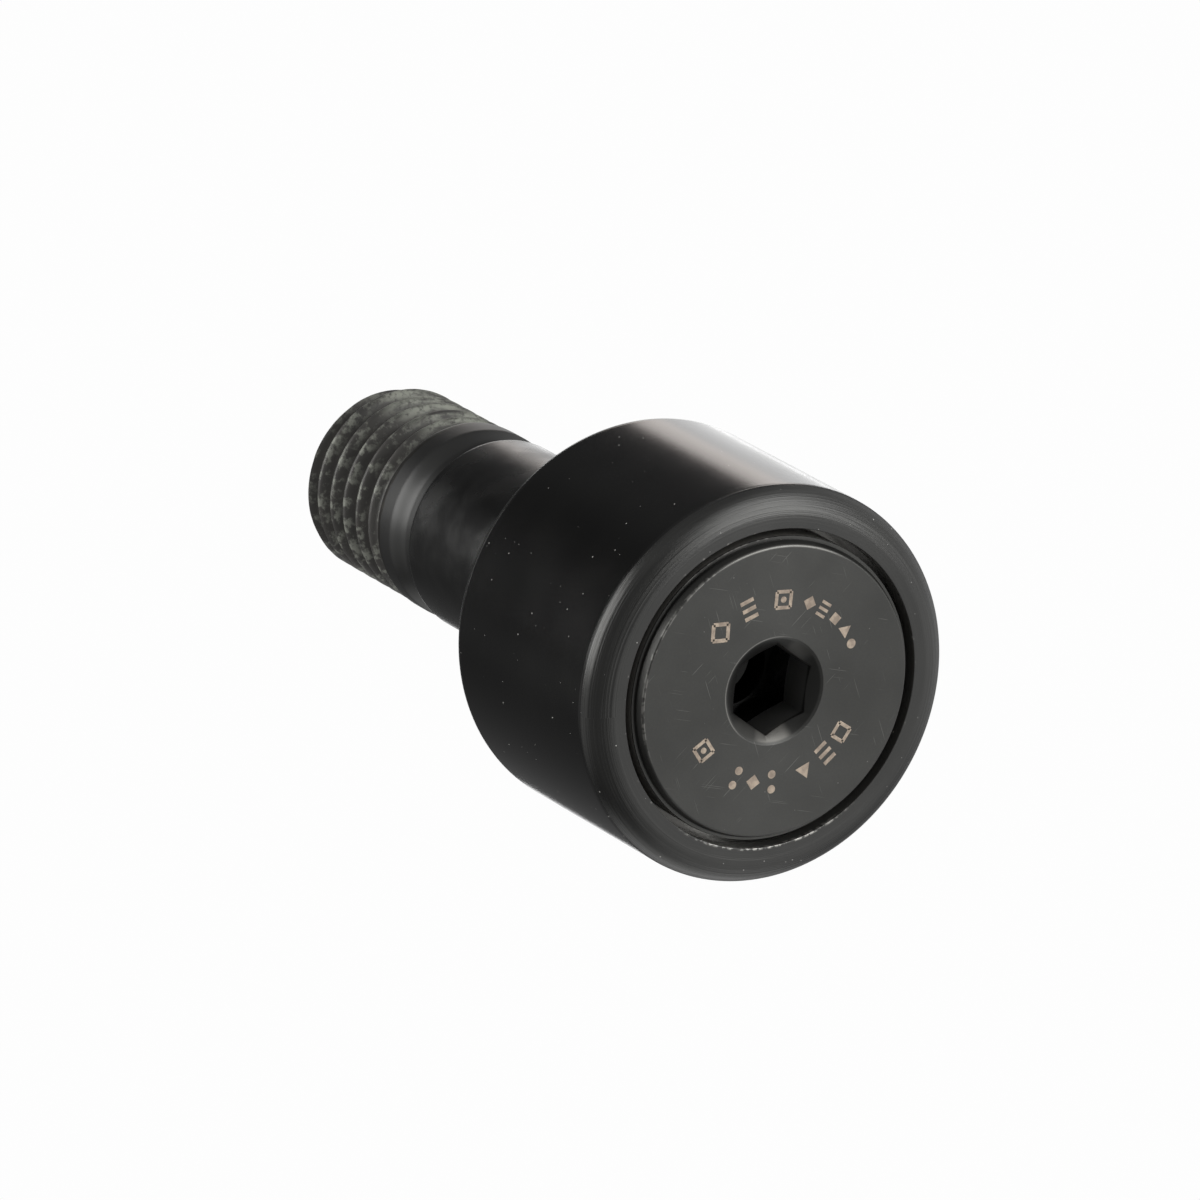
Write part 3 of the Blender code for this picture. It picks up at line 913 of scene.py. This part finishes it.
def thread_finish():
    """Dark, dull thread. Its crests and upper flanks are pale grey in patches on the top and the left:
    partly rubbed wear, partly a painted highlight where the lights fall.
    """
    made = Surface("black_oxide_thread_worn_and_painted_highlight", OXIDE_DARK, 0.5, 0.5)
    flank = made.ramp(made.radius, THREAD_RADIUS / MM - 0.55, THREAD_RADIUS / MM - 0.1)
    threaded = made.ramp(made.station, GROOVE_START / MM, GROOVE_START / MM + 0.6)
    round_and_along = made.vector(
        made.times(made.angle, 2.4),
        made.times(made.station, 2.0),
        made.times(made.radius, 2.0),
    )
    # The pale patches keep to the top and the left, where the lights fall: a painted highlight mixed with
    # wear.
    long_patches = made.ramp(made.noise(round_and_along, 1.0, 4.0, 0.6), 0.4, 0.62)
    long_patches = made.times(long_patches, made.near_angle(72, 20, 26))
    blotches = made.ramp(made.noise(made.place, 1.7, 4.0, 0.65), 0.48, 0.6)
    blotches = made.times(blotches, made.near_angle(175, 45, 40))
    blotches = made.times(blotches, 0.6)
    fine = made.ramp(made.noise(made.place, 5.0, 3.0, 0.6), 0.25, 0.55)
    worn_and_painted_highlight = made.times(made.any_of(long_patches, blotches), fine)
    worn_and_painted_highlight = made.times(worn_and_painted_highlight, flank, threaded)
    base = made.mix(made.noise(made.place, 0.8, 3.0), THREAD_OXIDE_DARK, THREAD_OXIDE)
    base = made.mix(made.times(worn_and_painted_highlight, 0.7), base, THREAD_WORN_AND_PAINTED_HIGHLIGHT)
    rough = made.ramp(threaded, 0.0, 1.0, 0.42, made.ramp(worn_and_painted_highlight, 0.0, 1.0, 0.46, 0.6))
    made.link(made.ramp(threaded, 0.0, 1.0, 1.0, 0.5), made.shader.inputs["Metallic"])
    made.raise_by(made.noise(made.place, 3.2, 3.0, 0.6), 0.01)
    made.raise_by(made.noise(made.place, 9.0, 3.0, 0.6), 0.004)
    return made.finish(base, rough)


def plate_finish():
    """Ground and blackened washer."""
    made = Surface("black_oxide_on_endplate", OXIDE, 1.0, 0.35)
    lines = made.turning_marks(18.0)
    smudges = made.noise(made.place, 0.5, 3.0)
    base = made.mix(smudges, OXIDE_DARK, PLATE_OXIDE)
    rough = made.ramp(smudges, 0.3, 0.7, 0.3, 0.4)
    made.raise_by(lines, 0.0006)
    made.spin_grain(0.4)
    return made.finish(base, rough)


def needle_finish():
    """Lapped bearing steel with a trace of grease."""
    made = Surface("lapped_needle_steel", NEEDLE_STEEL, 1.0, 0.18)
    film = made.noise(made.place, 0.7, 3.0)
    lines = made.noise(made.scaled(made.place, 3.0, 20.0, 3.0), 1.0, 2.0)
    base = made.mix(film, NEEDLE_STEEL_GREASY, NEEDLE_STEEL_LIGHT)
    rough = made.ramp(film, 0.3, 0.7, 0.12, 0.26)
    made.raise_by(lines, 0.0003)
    return made.finish(base, rough)


def mark_finish():
    """Marks annealed into the oxide: dull and straw-coloured."""
    made = Surface("annealed_mark", MARK_STRAW, 0.4, 0.5)
    patches = made.noise(made.place, 3.0, 3.0, 0.6)
    grain = made.noise(made.place, 14.0, 2.0)
    base = made.mix(made.ramp(patches, 0.3, 0.7), MARK_STRAW_DARK, MARK_STRAW_LIGHT)
    rough = made.ramp(grain, 0.3, 0.7, 0.42, 0.58)
    made.raise_by(grain, 0.002)
    return made.finish(base, rough)


# ---------------------------------------------------------------- camera, floor and light

# The camera is placed from the middle of the ring's front face.
CAMERA_AZIMUTH = -29.43
CAMERA_ELEVATION = 18.34
CAMERA_DISTANCE = 511.5 * MM
CAMERA_ASIDE = 6.54 * MM
CAMERA_UP = -3.41 * MM
CAMERA_LENS = 400.9
SENSOR_WIDTH = 36.0

FLOOR_RADIUS = 1.0
FLOOR_BEND = 0.2
WALL_HEIGHT = 0.9
BACKDROP_LIGHT = 0.985

LIGHT_DISTANCE = 0.6
CORE_DISTANCE = 0.9 * LIGHT_DISTANCE
WHITE = (1.0, 1.0, 1.0)
WARM_WHITE = (1.0, 0.8, 0.68)
ROOM_DIM = 0.12
# Patches of light: azimuth, elevation, inner and outer angle from their middle, brightness.
ROOM_PATCHES = [
    (80, 15, 25, 60, 0.95),
    (108, -38, 12, 40, 0.25),
    (36, -23, 12, 40, 1.0),
    (40, -50, 8, 30, 0.5),
    (160, -82, 6, 38, 1.6),
    (-45, 5, 35, 75, 0.26),
    (-112, -15, 12, 38, 0.75),
    (0, 90, 30, 60, 0.4),
]


def towards(azimuth, elevation):
    """Unit vector from the object to a place round it. Azimuth 0 is at -Y and 90 at +X."""
    around = math.radians(azimuth)
    above = math.radians(elevation)
    return Vector(
        (
            math.sin(around) * math.cos(above),
            -math.cos(around) * math.cos(above),
            math.sin(above),
        )
    )


def make_camera():
    """A long lens, level and turned to the follower's head."""
    back = towards(CAMERA_AZIMUTH, CAMERA_ELEVATION)
    right = Vector((0.0, 0.0, 1.0)).cross(back).normalized()
    up = back.cross(right)
    aim = Vector((0.0, RING_FRONT, 0.0)) - right * CAMERA_ASIDE - up * CAMERA_UP
    data = bpy.data.cameras.new("camera")
    data.lens = CAMERA_LENS
    data.sensor_width = SENSOR_WIDTH
    data.clip_start = 0.01
    data.clip_end = 10.0
    camera = bpy.data.objects.new("camera", data)
    turn = Matrix((right, up, back)).transposed().to_4x4()
    camera.matrix_world = Matrix.Translation(aim + back * CAMERA_DISTANCE) @ turn
    bpy.context.scene.collection.objects.link(camera)
    bpy.context.scene.camera = camera


def make_floor():
    """A white floor that curves up into a wall all round. It glows, so nothing shades it."""
    ground = -ROLLER_RADIUS
    outline = rounded(
        [
            (0.0, ground, 0),
            (FLOOR_RADIUS, ground, FLOOR_BEND),
            (FLOOR_RADIUS, ground + WALL_HEIGHT, 0),
        ],
        FLOOR_BEND_STEPS,
    )
    shape = bmesh.new()
    add_rows(shape, outline, FLOOR_SEGMENTS)
    bmesh.ops.remove_doubles(shape, verts=shape.verts, dist=MERGE_DISTANCE)
    # The rows turn about +Y, so the floor is tipped up to stand on +Z.
    bmesh.ops.rotate(shape, verts=shape.verts, matrix=Matrix.Rotation(math.pi / 2, 3, "X"))
    mesh = bpy.data.meshes.new("floor")
    shape.to_mesh(mesh)
    shape.free()
    mesh.shade_smooth()
    floor = bpy.data.objects.new("floor", mesh)
    bpy.context.scene.collection.objects.link(floor)
    floor.visible_glossy = False
    floor.visible_shadow = False
    paper = bpy.data.materials.new("white_floor")
    paper.use_nodes = True
    nodes = paper.node_tree.nodes
    nodes.remove(nodes["Principled BSDF"])
    glow = nodes.new("ShaderNodeEmission")
    glow.inputs["Color"].default_value = (BACKDROP_LIGHT, BACKDROP_LIGHT, BACKDROP_LIGHT, 1.0)
    paper.node_tree.links.new(glow.outputs[0], nodes["Material Output"].inputs["Surface"])
    mesh.materials.append(paper)


def softbox(name, direction, half_size, brightness, distance=LIGHT_DISTANCE, colour=WHITE):
    """A rectangular light that faces the object.

    Its direction is azimuth and elevation, and its half size is across and up, all in degrees.
    """
    half_width, half_height = (math.radians(angle) for angle in half_size)
    data = bpy.data.lights.new(name, "AREA")
    data.shape = "RECTANGLE"
    data.color = colour
    data.size = 2 * distance * math.tan(half_width)
    data.size_y = 2 * distance * math.tan(half_height)
    data.energy = brightness * math.pi * data.size * data.size_y
    light = bpy.data.objects.new(name, data)
    outwards = towards(*direction)
    light.location = outwards * distance
    light.rotation_mode = "QUATERNION"
    light.rotation_quaternion = outwards.to_track_quat("Z", "Y")
    light.visible_camera = False
    bpy.context.scene.collection.objects.link(light)


def make_room():
    """The room beyond the lights: dim, with broad soft patches of light on its walls and floor."""
    world = bpy.data.worlds.new("room")
    bpy.context.scene.world = world
    world.use_nodes = True
    tree = world.node_tree
    direction = tree.nodes.new("ShaderNodeTexCoord").outputs["Generated"]
    background = tree.nodes["Background"]
    background.inputs["Color"].default_value = (1.0, 1.0, 1.0, 1.0)
    target = background.inputs["Strength"]
    for azimuth, elevation, inner, outer, brightness in ROOM_PATCHES:
        facing = tree.nodes.new("ShaderNodeVectorMath")
        facing.operation = "DOT_PRODUCT"
        tree.links.new(direction, facing.inputs[0])
        facing.inputs[1].default_value = towards(azimuth, elevation)
        patch = tree.nodes.new("ShaderNodeMapRange")
        patch.interpolation_type = "SMOOTHSTEP"
        tree.links.new(facing.outputs["Value"], patch.inputs["Value"])
        patch.inputs["From Min"].default_value = math.cos(math.radians(outer))
        patch.inputs["From Max"].default_value = math.cos(math.radians(inner))
        patch.inputs["To Max"].default_value = brightness
        total = tree.nodes.new("ShaderNodeMath")
        tree.links.new(patch.outputs[0], total.inputs[0])
        total.inputs[1].default_value = ROOM_DIM
        tree.links.new(total.outputs[0], target)
        target = total.inputs[1]


def make_lights():
    """A softbox with a brighter core in front, one on the left, and panels behind on the right."""
    make_room()
    softbox("front_softbox", (30, 21), (20, 26), 2.1)
    softbox("front_core", (30, 21), (14, 24), 2.6, distance=CORE_DISTANCE)
    softbox("left_softbox", (-111, 21), (27, 20), 5.4)
    softbox("rear_panel", (153.5, 6), (10, 14.5), 1.3)
    softbox("rear_low_panel", (154.5, -16.5), (9.5, 9.5), 1.15)
    softbox("warm_strip", (150, 16), (10, 5), 0.7, colour=WARM_WHITE)


make_camera()
make_floor()
make_lights()
make_stud(head_finish(), shank_finish(), thread_finish())
make_ring(ring_finish())
make_endplate(plate_finish())
make_needles(needle_finish())
make_marks(mark_finish())

bpy.context.scene.view_settings.view_transform = "Standard"
